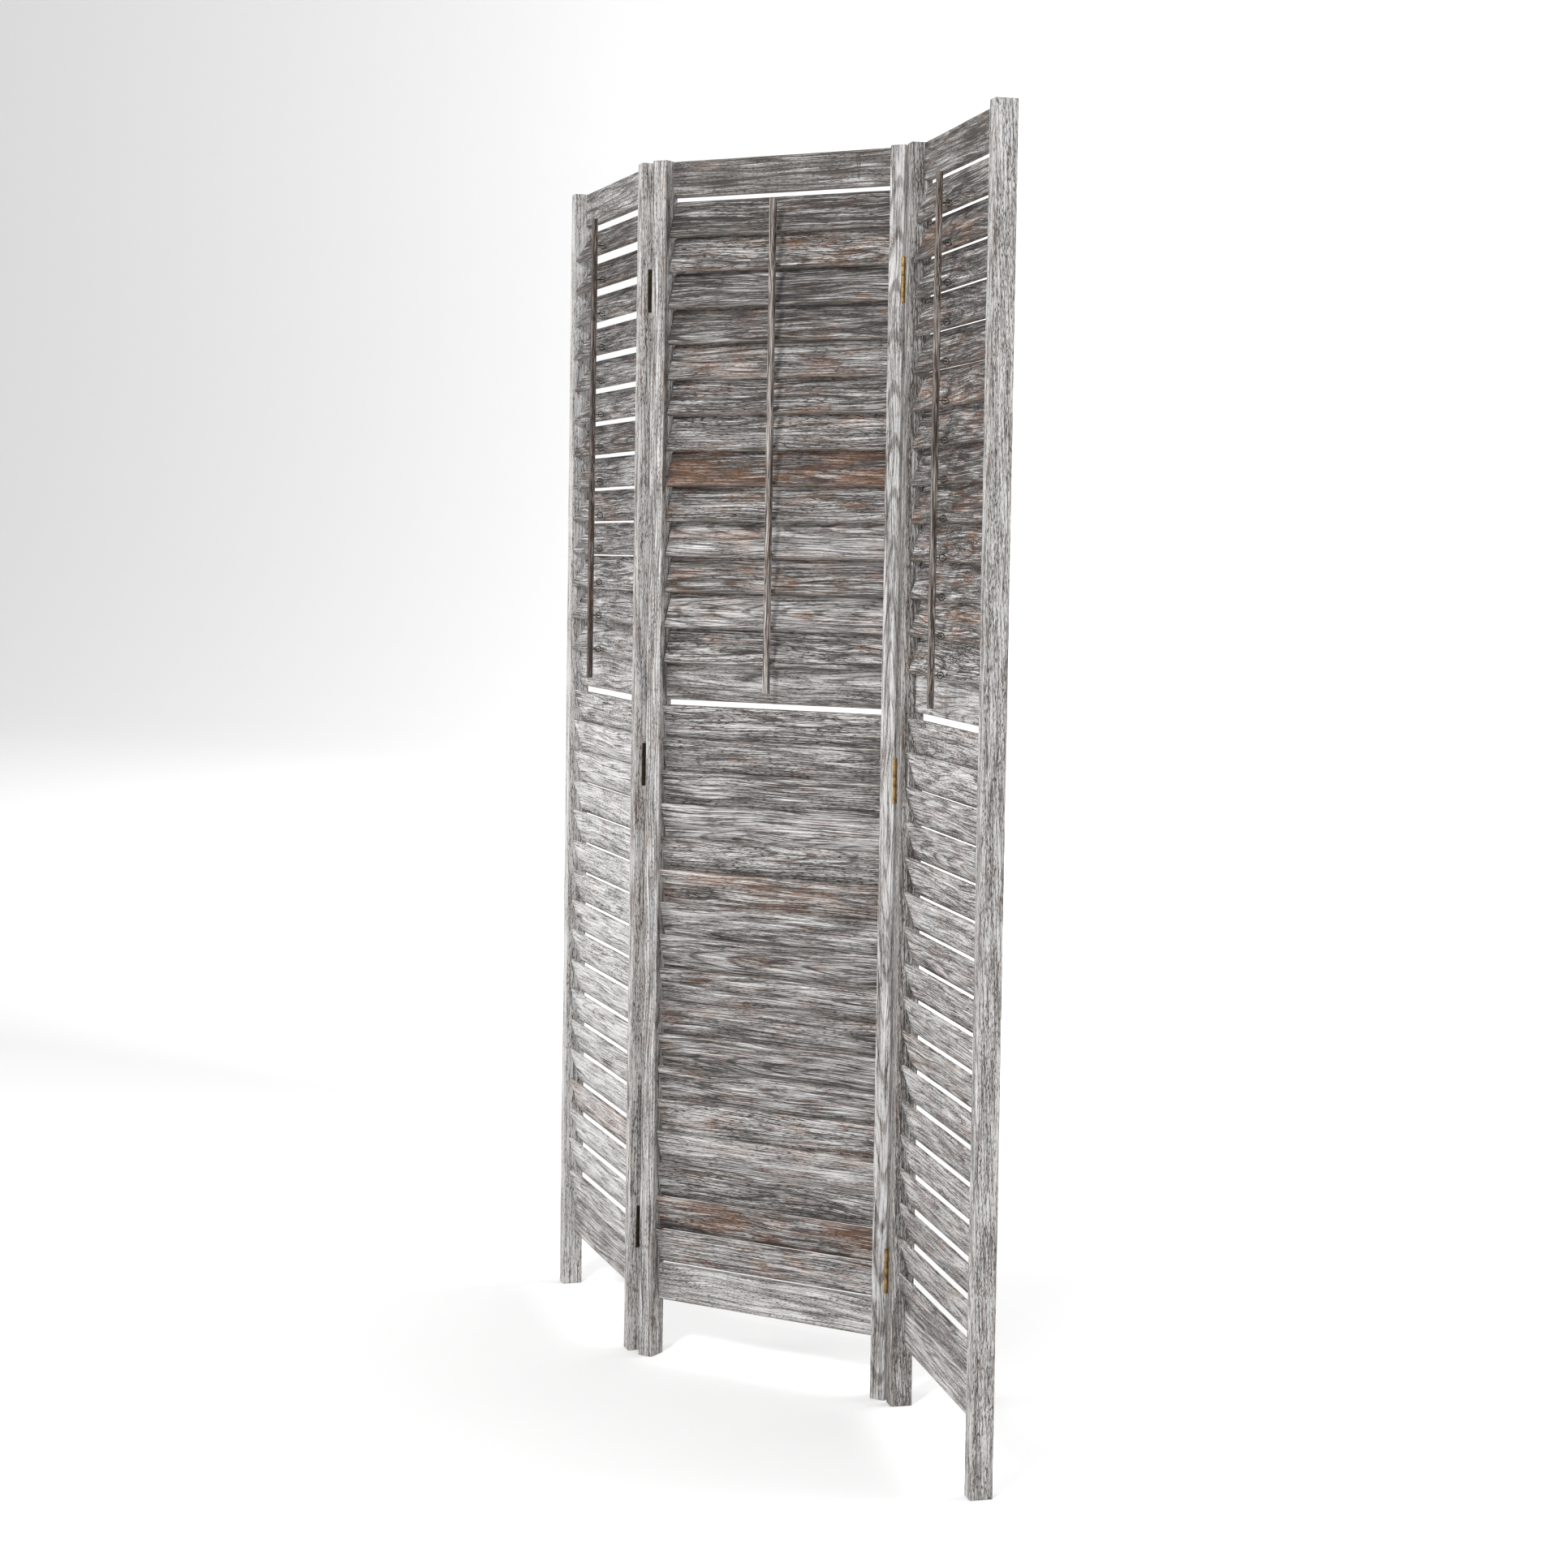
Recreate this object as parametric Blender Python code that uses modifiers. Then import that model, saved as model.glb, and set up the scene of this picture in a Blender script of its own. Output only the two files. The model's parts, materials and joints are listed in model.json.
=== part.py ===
"""A three-panel folding screen with louvred panels.

Each panel is a glued timber frame of two stiles and three rails.  Its upper
bay holds thirteen louvers that turn together, linked by screw eyes to a square
tilt rod in front.  Its lower bay holds seventeen fixed louvers.  The left and
centre panels fold back to back and the centre and right panels fold face to
face, each pair on three brass butt hinges.

Within a panel, x runs from its left end to its right end, y from its front
face to its back face, and z up from the floor.
"""

import math

import bmesh
import bpy
from mathutils import Matrix, Vector

# Panel frame, in metres.
PANEL_WIDTH = 0.403
PANEL_HEIGHT = 1.700
STILE_WIDTH = 0.023
STILE_DEPTH = 0.030
RAIL_THICKNESS = 0.0115
RAIL_BACK_INSET = 0.0005
TENON_OVERLAP = 0.005
TOP_RAIL = (1.6492, 1.6995)
MIDDLE_RAIL = (0.9422, 0.9940)
BOTTOM_RAIL = (0.0810, 0.1325)

# Tilting louvers of the upper bay.
SLAT_CHORD = 0.0546
SLAT_THICKNESS = 0.0073
SLAT_EASING = 0.0022
LOUVER_COUNT = 13
LOUVER_PITCH = 0.0498
TOP_LOUVER_HEIGHT = 1.6176
LOUVER_PIVOT_DEPTH = 0.0187
LOUVER_END_GAP = 0.001
PIVOT_RADIUS = 0.0026
PIVOT_LENGTH = 0.008
PIVOT_HOLE_RADIUS = 0.0035
PIVOT_HOLE_DEPTH = 0.0095
LOUVER_TILT = {"left": 34.0, "centre": 22.0, "right": 20.0}

# Screw eyes, and the tilt rod that they link to the louvers.
EYE_RADIUS = 0.0042
EYE_WIRE_RADIUS = 0.00075
EYE_BELOW_PIVOT = 0.0246
EYE_BEFORE_PIVOT = 0.0093
EYE_FROM_PANEL_MIDDLE = -0.0005
EYE_SIDE_STEP = 0.0025
EYE_SHANK_IN_WOOD = 0.0020
ROD_SIDE = 0.0080
ROD_BEHIND_EYE = 0.0098
ROD_ABOVE_TOP_EYE = 0.0387
ROD_BELOW_LAST_EYE = 0.0425

# Fixed louvers of the lower bay, and the groove that takes their ends.
FIXED_COUNT = 17
FIXED_PITCH = 0.0469
FIXED_TOP_HEIGHT = 0.9107
FIXED_DEPTH = 0.0170
FIXED_TILT = 17.7
FIXED_CHORD = 0.0520
FIXED_THICKNESS = 0.0050
FIXED_EASING = 0.0016
GROOVE_DEPTH = 0.0051
GROOVE_FRONT = 0.0059
GROOVE_BACK = 0.0283
GROOVE_LOW = 0.1330
GROOVE_HIGH = 0.9419
FIT_GAP = 0.0003

# Butt hinges.
HINGE_HEIGHTS = {"bottom": 0.180, "middle": 0.8475, "top": 1.520}
HINGE_LENGTH = 0.0605
LEAF_THICKNESS = 0.0012
LEAF_SETBACK = 0.0001
LEAF_START = 0.0216
LEAF_END = 0.0036
KNUCKLE_COUNT = 5
KNUCKLE_RADIUS = 0.0030
KNUCKLE_BORE = 0.0019
HINGE_PIN_RADIUS = 0.0014
HINGE_PIN_PROUD = 0.0012
HINGE_PIN_OUT = 0.0024
PANEL_GAP = 0.0030
FOLD_FROM_FLAT = {"left": 40.5, "right": 46.7}

# Sides of the small round pieces.
PIVOT_SIDES = 6
WIRE_SIDES = 4
EYE_STEPS = 8
KNUCKLE_SIDES = 8

PANELS = ("left", "centre", "right")
PROUD = 0.001  # how far a cutter runs past the face that it opens


def clear_scene():
    """Remove whatever the scene holds."""
    for thing in list(bpy.data.objects):
        bpy.data.objects.remove(thing, do_unlink=True)


def new_collection(name):
    """A collection linked to the scene."""
    collection = bpy.data.collections.new(name)
    bpy.context.scene.collection.children.link(collection)
    return collection


def material(name, colour, roughness, metallic):
    """A Principled material of one colour."""
    made = bpy.data.materials.new(name)
    made.use_nodes = True
    shader = made.node_tree.nodes["Principled BSDF"]
    shader.inputs["Base Color"].default_value = (*colour, 1.0)
    shader.inputs["Roughness"].default_value = roughness
    shader.inputs["Metallic"].default_value = metallic
    return made


def object_from(name, bm):
    """An object made of a bmesh, which is freed."""
    mesh = bpy.data.meshes.new(name)
    bm.to_mesh(mesh)
    bm.free()
    made = bpy.data.objects.new(name, mesh)
    bpy.context.scene.collection.objects.link(made)
    return made


def boxes(name, spans):
    """One object of upright boxes, each given by its lowest and highest corner."""
    bm = bmesh.new()
    for low, high in spans:
        low, high = Vector(low), Vector(high)
        place = Matrix.Translation((low + high) / 2)
        stretch = Matrix.Diagonal((*(high - low), 1.0))
        bmesh.ops.create_cube(bm, size=1.0, matrix=place @ stretch)
    return object_from(name, bm)


def prisms(name, spans, radius, sides):
    """One object of straight prisms of many sides, each from a start point to an end point."""
    bm = bmesh.new()
    for start, end in spans:
        start, end = Vector(start), Vector(end)
        along = end - start
        turn = along.to_track_quat("Z", "Y").to_matrix().to_4x4()
        place = Matrix.Translation((start + end) / 2)
        bmesh.ops.create_cone(
            bm,
            cap_ends=True,
            segments=sides,
            radius1=radius,
            radius2=radius,
            depth=along.length,
            matrix=place @ turn,
        )
    return object_from(name, bm)


def wire_ring(name, centre, normal_turn):
    """A ring of wire about a centre; normal_turn turns its axis away from z."""
    bpy.ops.mesh.primitive_torus_add(
        major_segments=EYE_STEPS,
        minor_segments=WIRE_SIDES,
        major_radius=EYE_RADIUS,
        minor_radius=EYE_WIRE_RADIUS,
        location=(0.0, 0.0, 0.0),
    )
    made = bpy.context.object
    made.name = name
    made.data.transform(Matrix.Translation(centre) @ normal_turn)
    return made


def repeat_down(made, count, step):
    """Repeat an object downwards at an even step."""
    array = made.modifiers.new("repeat", "ARRAY")
    array.use_relative_offset = False
    array.use_constant_offset = True
    array.constant_offset_displace = (0.0, 0.0, -step)
    array.count = count


def combine(made, other, operation):
    """Add a Boolean with another object."""
    step = made.modifiers.new(operation.lower(), "BOOLEAN")
    step.object = other
    step.operation = operation
    step.solver = "EXACT"


def settled_mesh(name, made, used):
    """The mesh of an object with its modifiers applied; it and the objects it used are removed."""
    bpy.context.view_layer.update()
    graph = bpy.context.evaluated_depsgraph_get()
    mesh = bpy.data.meshes.new_from_object(made.evaluated_get(graph))
    mesh.name = name
    for thing in (made, *used):
        bpy.data.objects.remove(thing, do_unlink=True)
    return mesh


def slat(name, length, thickness, chord, easing):
    """A board of one louver, upright and centred, with its long edges eased."""
    bm = bmesh.new()
    size = (length, thickness, chord, 1.0)
    bmesh.ops.create_cube(bm, size=1.0, matrix=Matrix.Diagonal(size))
    long_edges = [e for e in bm.edges if abs(e.verts[0].co.x - e.verts[1].co.x) > length / 2]
    bmesh.ops.bevel(bm, geom=long_edges, offset=easing, segments=1, affect="EDGES")
    return object_from(name, bm)


def louver_mesh():
    """One tilting louver about its pivot axis: slat, pivot pins, and screw eye low on its front."""
    length = PANEL_WIDTH - 2 * STILE_WIDTH - 2 * LOUVER_END_GAP
    made = slat("slat", length, SLAT_THICKNESS, SLAT_CHORD, SLAT_EASING)
    end = length / 2
    pins = prisms(
        "pins",
        [
            ((-end - PIVOT_LENGTH, 0.0, 0.0), (-end + PIVOT_LENGTH, 0.0, 0.0)),
            ((end - PIVOT_LENGTH, 0.0, 0.0), (end + PIVOT_LENGTH, 0.0, 0.0)),
        ],
        PIVOT_RADIUS,
        PIVOT_SIDES,
    )
    eye = Vector((EYE_FROM_PANEL_MIDDLE, -EYE_BEFORE_PIVOT, -EYE_BELOW_PIVOT))
    in_wood = -SLAT_THICKNESS / 2 + EYE_SHANK_IN_WOOD
    shank = prisms(
        "shank",
        [((eye.x, eye.y + EYE_RADIUS, eye.z), (eye.x, in_wood, eye.z))],
        EYE_WIRE_RADIUS,
        WIRE_SIDES,
    )
    ring = wire_ring("ring", eye, Matrix.Rotation(math.pi / 2, 4, "Y"))
    for other in (pins, shank, ring):
        combine(made, other, "UNION")
    return settled_mesh("louver", made, (pins, shank, ring))


def eye_centre(tilt):
    """Where a louver's screw eye lies from its pivot, in depth and height, at a tilt from upright."""
    turn = math.radians(tilt)
    depth = -EYE_BEFORE_PIVOT * math.cos(turn) - EYE_BELOW_PIVOT * math.sin(turn)
    height = EYE_BEFORE_PIVOT * math.sin(turn) - EYE_BELOW_PIVOT * math.cos(turn)
    return depth, height


def tilt_rod_mesh():
    """The tilt rod about the top louver's screw eye, with a level ring through each louver's eye."""
    side = 2 * EYE_SIDE_STEP
    back = -ROD_BEHIND_EYE
    foot = -(LOUVER_COUNT - 1) * LOUVER_PITCH - ROD_BELOW_LAST_EYE
    low = (side - ROD_SIDE / 2, back - ROD_SIDE, foot)
    high = (side + ROD_SIDE / 2, back, ROD_ABOVE_TOP_EYE)
    made = boxes("rod", [(low, high)])
    reach = math.sqrt(EYE_RADIUS**2 - EYE_SIDE_STEP**2)
    ring_centre = Vector((EYE_SIDE_STEP, -reach, 0.0))
    near = ring_centre.y - EYE_RADIUS
    shanks = prisms(
        "shanks",
        [((EYE_SIDE_STEP, near, 0.0), (EYE_SIDE_STEP, back - EYE_SHANK_IN_WOOD, 0.0))],
        EYE_WIRE_RADIUS,
        WIRE_SIDES,
    )
    rings = wire_ring("rings", ring_centre, Matrix.Identity(4))
    for repeated in (shanks, rings):
        repeat_down(repeated, LOUVER_COUNT, LOUVER_PITCH)
        combine(made, repeated, "UNION")
    return settled_mesh("tilt_rod", made, (shanks, rings))


def fixed_louvers_mesh():
    """The fixed louvers, joined at their ends by a strip that lies hidden in each stile's groove."""
    inner = STILE_WIDTH - GROOVE_DEPTH + FIT_GAP
    length = PANEL_WIDTH - 2 * inner - 2 * FIT_GAP
    board = slat("boards", length, FIXED_THICKNESS, FIXED_CHORD, FIXED_EASING)
    turn = Matrix.Rotation(math.radians(FIXED_TILT), 4, "X")
    place = Matrix.Translation((PANEL_WIDTH / 2, FIXED_DEPTH, FIXED_TOP_HEIGHT))
    board.data.transform(place @ turn)
    repeat_down(board, FIXED_COUNT, FIXED_PITCH)
    front = GROOVE_FRONT + FIT_GAP
    back = GROOVE_BACK - FIT_GAP
    foot = GROOVE_LOW + FIT_GAP
    top = GROOVE_HIGH - FIT_GAP
    outer = STILE_WIDTH - FIT_GAP
    strips = boxes(
        "strips",
        [
            ((inner, front, foot), (outer, back, top)),
            ((PANEL_WIDTH - outer, front, foot), (PANEL_WIDTH - inner, back, top)),
        ],
    )
    combine(strips, board, "UNION")
    return settled_mesh("fixed_louvers", strips, (board,))


def pivot_holes():
    """Cutters for the blind holes that the louvers turn in."""
    spans = []
    for index in range(LOUVER_COUNT):
        height = TOP_LOUVER_HEIGHT - index * LOUVER_PITCH
        for face, way in ((STILE_WIDTH, -1), (PANEL_WIDTH - STILE_WIDTH, 1)):
            mouth = (face - way * PROUD, LOUVER_PIVOT_DEPTH, height)
            end = (face + way * PIVOT_HOLE_DEPTH, LOUVER_PIVOT_DEPTH, height)
            spans.append((mouth, end))
    return prisms("pivot_holes", spans, PIVOT_HOLE_RADIUS, PIVOT_SIDES)


def grooves():
    """Cutters for the grooves that the fixed louvers' ends sit in."""
    far = PANEL_WIDTH - STILE_WIDTH
    return boxes(
        "grooves",
        [
            (
                (STILE_WIDTH - GROOVE_DEPTH, GROOVE_FRONT, GROOVE_LOW),
                (STILE_WIDTH + PROUD, GROOVE_BACK, GROOVE_HIGH),
            ),
            (
                (far - PROUD, GROOVE_FRONT, GROOVE_LOW),
                (far + GROOVE_DEPTH, GROOVE_BACK, GROOVE_HIGH),
            ),
        ],
    )


def hinge_pockets(sides):
    """Cutters for the hinge leaves' recesses, each at a panel end and open to its knuckles' face."""
    spans = []
    depth = LEAF_SETBACK + LEAF_THICKNESS + FIT_GAP
    reach = LEAF_START - HINGE_PIN_OUT + FIT_GAP
    for end, face in sides:
        x = (-PROUD, depth) if end == "left" else (PANEL_WIDTH - depth, PANEL_WIDTH + PROUD)
        y = (-PROUD, reach) if face == "front" else (STILE_DEPTH - reach, STILE_DEPTH + PROUD)
        for height in HINGE_HEIGHTS.values():
            half = HINGE_LENGTH / 2 + FIT_GAP
            spans.append(((x[0], y[0], height - half), (x[1], y[1], height + half)))
    return boxes("hinge_pockets", spans)


def frame_mesh(name, hinge_sides):
    """One panel's glued frame: two stiles, three rails, and the holes and recesses cut in them."""
    made = boxes(
        name,
        [
            ((0.0, 0.0, 0.0), (STILE_WIDTH, STILE_DEPTH, PANEL_HEIGHT)),
            (
                (PANEL_WIDTH - STILE_WIDTH, 0.0, 0.0),
                (PANEL_WIDTH, STILE_DEPTH, PANEL_HEIGHT),
            ),
        ],
    )
    back = STILE_DEPTH - RAIL_BACK_INSET
    ends = (STILE_WIDTH - TENON_OVERLAP, PANEL_WIDTH - STILE_WIDTH + TENON_OVERLAP)
    rails = boxes(
        "rails",
        [
            ((ends[0], back - RAIL_THICKNESS, low), (ends[1], back, high))
            for low, high in (TOP_RAIL, MIDDLE_RAIL, BOTTOM_RAIL)
        ],
    )
    cutters = (pivot_holes(), grooves(), hinge_pockets(hinge_sides))
    combine(made, rails, "UNION")
    for cutter in cutters:
        combine(made, cutter, "DIFFERENCE")
    return settled_mesh(name, made, (rails, *cutters))


def leaf_mesh(name, own_knuckles, with_pin):
    """One hinge leaf about the hinge's pin: a plate on its left, and every other knuckle.

    The leaf with the pin has solid knuckles fixed to it; the other's knuckles are bored to turn on it.
    """
    outer = -PANEL_GAP / 2 - LEAF_SETBACK
    inner = outer - LEAF_THICKNESS
    half = HINGE_LENGTH / 2
    made = boxes("plate", [((inner, -LEAF_START, -half), (outer, -LEAF_END, half))])
    step = HINGE_LENGTH / KNUCKLE_COUNT
    spans = []
    for index in own_knuckles:
        low = -half + index * step + FIT_GAP / 2
        spans.append((low, low + step - FIT_GAP))
    tabs = boxes(
        "tabs",
        [((inner, -LEAF_END - PROUD, low), (outer, 0.0, high)) for low, high in spans],
    )
    barrels = prisms(
        "barrels",
        [((0.0, 0.0, low), (0.0, 0.0, high)) for low, high in spans],
        KNUCKLE_RADIUS,
        KNUCKLE_SIDES,
    )
    reach = half + HINGE_PIN_PROUD
    core = prisms(
        "core",
        [((0.0, 0.0, -reach), (0.0, 0.0, reach))],
        HINGE_PIN_RADIUS if with_pin else KNUCKLE_BORE,
        KNUCKLE_SIDES,
    )
    combine(made, tabs, "UNION")
    combine(made, barrels, "UNION")
    combine(made, core, "UNION" if with_pin else "DIFFERENCE")
    return settled_mesh(name, made, (tabs, barrels, core))


def add(collection, name, mesh, finish, parent, place):
    """Place one named piece under its parent empty."""
    made = bpy.data.objects.new(name, mesh)
    if not mesh.materials:
        mesh.materials.append(finish)
    made.parent = parent
    made.matrix_local = place
    collection.objects.link(made)
    return made


def empty(collection, name, parent, place):
    """An empty that carries a moving group; its origin lies on the group's axis."""
    made = bpy.data.objects.new(name, None)
    made.parent = parent
    made.matrix_local = place
    collection.objects.link(made)
    return made


def panel_places():
    """Each panel's frame of reference in the centre panel's, and each fold's pin line."""
    pin_left = Vector((-PANEL_GAP / 2, STILE_DEPTH + HINGE_PIN_OUT, 0.0))
    pin_right = Vector((PANEL_WIDTH + PANEL_GAP / 2, -HINGE_PIN_OUT, 0.0))
    turn_left = Matrix.Rotation(-math.radians(FOLD_FROM_FLAT["left"]), 4, "Z")
    turn_right = Matrix.Rotation(-math.radians(FOLD_FROM_FLAT["right"]), 4, "Z")
    from_left_pin = Vector((-PANEL_WIDTH - PANEL_GAP / 2, -STILE_DEPTH - HINGE_PIN_OUT, 0.0))
    from_right_pin = Vector((PANEL_GAP / 2, HINGE_PIN_OUT, 0.0))
    folds = {
        "left": Matrix.Translation(pin_left) @ turn_left,
        "right": Matrix.Translation(pin_right) @ turn_right,
    }
    offsets = {
        "left": Matrix.Translation(from_left_pin),
        "right": Matrix.Translation(from_right_pin),
    }
    return folds, offsets


def plan_middle(folds, offsets):
    """The middle of the box around all the stiles' corners in plan."""
    places = [Matrix.Identity(4)] + [folds[side] @ offsets[side] for side in ("left", "right")]
    corners = [
        place @ Vector((x, y, 0.0))
        for place in places
        for x in (0.0, PANEL_WIDTH)
        for y in (0.0, STILE_DEPTH)
    ]
    across = [corner.x for corner in corners]
    deep = [corner.y for corner in corners]
    return Vector(((min(across) + max(across)) / 2, (min(deep) + max(deep)) / 2, 0.0))


def add_panel(collection, side, base, offset, meshes, finishes):
    """Place one panel's frame, fixed louvers, tilting louvers and tilt rod under its empty."""
    add(collection, f"{side}_frame", meshes[f"{side}_frame"], finishes["frame"], base, offset)
    add(
        collection,
        f"{side}_fixed_louvers",
        meshes["fixed_louvers"],
        finishes["louver"],
        base,
        offset,
    )
    tilt = LOUVER_TILT[side]
    turn = Matrix.Rotation(-math.radians(tilt), 4, "X")
    for index in range(LOUVER_COUNT):
        height = TOP_LOUVER_HEIGHT - index * LOUVER_PITCH
        pivot = Matrix.Translation((PANEL_WIDTH / 2, LOUVER_PIVOT_DEPTH, height))
        name = f"{side}_louver_{index + 1:02d}"
        add(collection, name, meshes["louver"], finishes["louver"], base, offset @ pivot @ turn)
    depth, height = eye_centre(tilt)
    top_eye = (
        PANEL_WIDTH / 2 + EYE_FROM_PANEL_MIDDLE,
        LOUVER_PIVOT_DEPTH + depth,
        TOP_LOUVER_HEIGHT + height,
    )
    place = offset @ Matrix.Translation(top_eye)
    add(collection, f"{side}_tilt_rod", meshes["tilt_rod"], finishes["rod"], base, place)


def add_hinges(collection, side, fold, root, pin_line, meshes, brass):
    """Place one fold's three hinges.

    The pin leaves turn with the outer panel and the plain ones stay with the centre
    panel.  The right fold's hinges are the left fold's turned half round about their pins.
    """
    facing = Matrix.Rotation(0.0 if side == "left" else math.pi, 4, "Z")
    end_for_end = Matrix.Rotation(math.pi, 4, "Y")
    for level, height in HINGE_HEIGHTS.items():
        up = Matrix.Translation((0.0, 0.0, height))
        add(
            collection,
            f"{side}_hinge_{level}_pin_leaf",
            meshes["pin_leaf"],
            brass,
            fold,
            up @ facing,
        )
        add(
            collection,
            f"{side}_hinge_{level}_plain_leaf",
            meshes["plain_leaf"],
            brass,
            root,
            Matrix.Translation(pin_line) @ up @ facing @ end_for_end,
        )


def build():
    """Make every piece of the screen at its rest position."""
    clear_scene()
    screen = new_collection("folding_screen")
    finishes = {
        "frame": material("weathered_frame_wood", (0.50, 0.48, 0.46), 0.75, 0.0),
        "louver": material("weathered_louver_wood", (0.45, 0.43, 0.41), 0.78, 0.0),
        "rod": material("tilt_rod_wood", (0.36, 0.31, 0.27), 0.75, 0.0),
        "brass": material("hinge_brass", (0.55, 0.42, 0.18), 0.35, 1.0),
    }
    meshes = {
        "louver": louver_mesh(),
        "tilt_rod": tilt_rod_mesh(),
        "fixed_louvers": fixed_louvers_mesh(),
        "left_frame": frame_mesh("left_frame", [("right", "back")]),
        "centre_frame": frame_mesh("centre_frame", [("left", "back"), ("right", "front")]),
        "right_frame": frame_mesh("right_frame", [("left", "front")]),
        "pin_leaf": leaf_mesh("pin_leaf", (0, 2, 4), True),
        "plain_leaf": leaf_mesh("plain_leaf", (1, 3), False),
    }
    folds, offsets = panel_places()
    middle = Matrix.Translation(-plan_middle(folds, offsets))
    root = empty(screen, "centre_panel", None, middle)
    empties = {
        "left": empty(screen, "left_panel_fold", root, folds["left"]),
        "right": empty(screen, "right_panel_fold", root, folds["right"]),
    }
    for side in PANELS:
        base = empties.get(side, root)
        add_panel(screen, side, base, offsets.get(side, Matrix.Identity(4)), meshes, finishes)
    for side, fold in empties.items():
        pin_line = folds[side].translation
        add_hinges(screen, side, fold, root, pin_line, meshes, finishes["brass"])
    bpy.context.view_layer.update()


build()
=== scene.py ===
"""Looks of a three-panel louvred folding screen, built round its fixed frame.

Every board is a grid surface: an oblong cross-section with eased corners, carried
along the grain.  Each board keeps four attributes for the wood materials: "grain" is
its own place in the board (x along the grain), "shade" is the board's paleness (partly
painted light), brownness, ring slope and random number, "eased" is 1 along its eased
corners, and "knot" is a knot's place along the board, its half length across it and its half width.
"""

import json
import math

import bpy
import numpy as np
from mathutils import Euler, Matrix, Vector


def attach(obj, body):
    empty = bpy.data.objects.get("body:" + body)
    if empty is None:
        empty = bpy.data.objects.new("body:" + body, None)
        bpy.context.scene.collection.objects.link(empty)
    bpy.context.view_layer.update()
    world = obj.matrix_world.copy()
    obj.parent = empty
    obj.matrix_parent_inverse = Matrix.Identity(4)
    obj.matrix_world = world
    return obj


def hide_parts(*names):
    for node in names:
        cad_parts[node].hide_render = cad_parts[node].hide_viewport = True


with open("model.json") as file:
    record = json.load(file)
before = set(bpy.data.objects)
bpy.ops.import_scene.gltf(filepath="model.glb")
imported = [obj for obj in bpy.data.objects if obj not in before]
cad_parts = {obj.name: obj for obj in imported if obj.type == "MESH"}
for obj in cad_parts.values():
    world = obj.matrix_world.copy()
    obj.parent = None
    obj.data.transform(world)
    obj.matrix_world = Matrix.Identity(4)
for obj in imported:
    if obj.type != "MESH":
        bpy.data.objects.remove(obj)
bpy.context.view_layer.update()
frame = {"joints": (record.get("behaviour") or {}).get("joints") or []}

MM = 0.001

# Sizes of the frame's own pieces, in metres.
PANEL_WIDTH = 0.403
PANEL_HEIGHT = 1.700
STILE_WIDTH = 0.023
STILE_DEPTH = 0.030
RAIL_THICKNESS = 0.0115
RAIL_BACK_INSET = 0.0005
RAILS = {"top": (1.6492, 1.6995), "middle": (0.9422, 0.9940), "bottom": (0.0810, 0.1325)}
SLAT_CHORD = 0.0546
SLAT_THICKNESS = 0.0073
LOUVER_COUNT = 13
LOUVER_PITCH = 0.0498
TOP_LOUVER_HEIGHT = 1.6176
LOUVER_PIVOT_DEPTH = 0.0187
LOUVER_END_GAP = 0.001
PIVOT_RADIUS = 0.0025
PIVOT_LENGTH = 0.0075
LOUVER_TILT = {"left": 34.0, "centre": 22.0, "right": 20.0}
EYE_RADIUS = 0.0042
EYE_WIRE_RADIUS = 0.00072
EYE_BELOW_PIVOT = 0.0246
EYE_BEFORE_PIVOT = 0.0093
EYE_FROM_PANEL_MIDDLE = -0.0005
EYE_SIDE_STEP = 0.0025
ROD_SIDE = 0.0080
ROD_BEHIND_EYE = 0.0098
ROD_ABOVE_TOP_EYE = 0.0387
ROD_BELOW_LAST_EYE = 0.0425
FIXED_PITCH = 0.0469
FIXED_TOP_HEIGHT = 0.9107
FIXED_DEPTH = 0.0170
FIXED_TILT = 17.7
FIXED_CHORD = 0.0520
FIXED_THICKNESS = 0.0050
FIXED_LET_IN = 0.0045
HINGE_HEIGHTS = {"bottom": 0.180, "middle": 0.8475, "top": 1.520}
HINGE_LENGTH = 0.0605
LEAF_THICKNESS = 0.0012
LEAF_SETBACK = 0.0001
LEAF_START = 0.0216
LEAF_END = 0.0036
KNUCKLE_COUNT = 5
KNUCKLE_RADIUS = 0.0030
HINGE_PIN_RADIUS = 0.0014
HINGE_PIN_PROUD = 0.0011
HINGE_PIN_OUT = 0.0024
PANEL_GAP = 0.0030
KNUCKLE_GAP = 0.0003

# How much each kind of board is eased and dips, and how the small parts are set in.
STILE_EASE = 1.2 * MM
RAIL_EASE = 1.0 * MM
LOUVER_EASE = 1.6 * MM
FIXED_EASE = 1.5 * MM
ROD_EASE = 0.9 * MM
LOUVER_WAVER = 0.25 * MM
FRAME_WAVER = 0.3 * MM
ROD_WAVER = 0.35 * MM
RAIL_LET_IN = 2 * MM
POCKET_PLAY = 0.3 * MM
POCKET_STEP = 0.05 * MM
EYE_SET_IN = 2 * MM
STEM_STOUTNESS = 1.15
TAB_LAP = 0.6 * MM
SCREW_RADIUS = 2.9 * MM
SCREW_SPACING = 0.021
SCREW_STAGGER = 2.5 * MM
SHARP_ANGLE = 40

SIDES = ("left", "centre", "right")
EASE_STEPS = 3
WIDE_CUTS = (0.03, 0.12, 0.28, 0.43, 0.57, 0.72, 0.88, 0.97)
THIN_CUTS = (0.15, 0.5, 0.85)
NO_KNOT = (9.0, 0.0, 0.001)

# The one knot that shows, on a rail.
KNOTS = {("centre", "top"): (0.1205, 0.014, 0.0042)}

# The face of each stile that its hinge leaves lie towards.
HINGE_FACES = {
    ("left", "right"): "back",
    ("centre", "left"): "back",
    ("centre", "right"): "front",
    ("right", "left"): "front",
}
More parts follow.
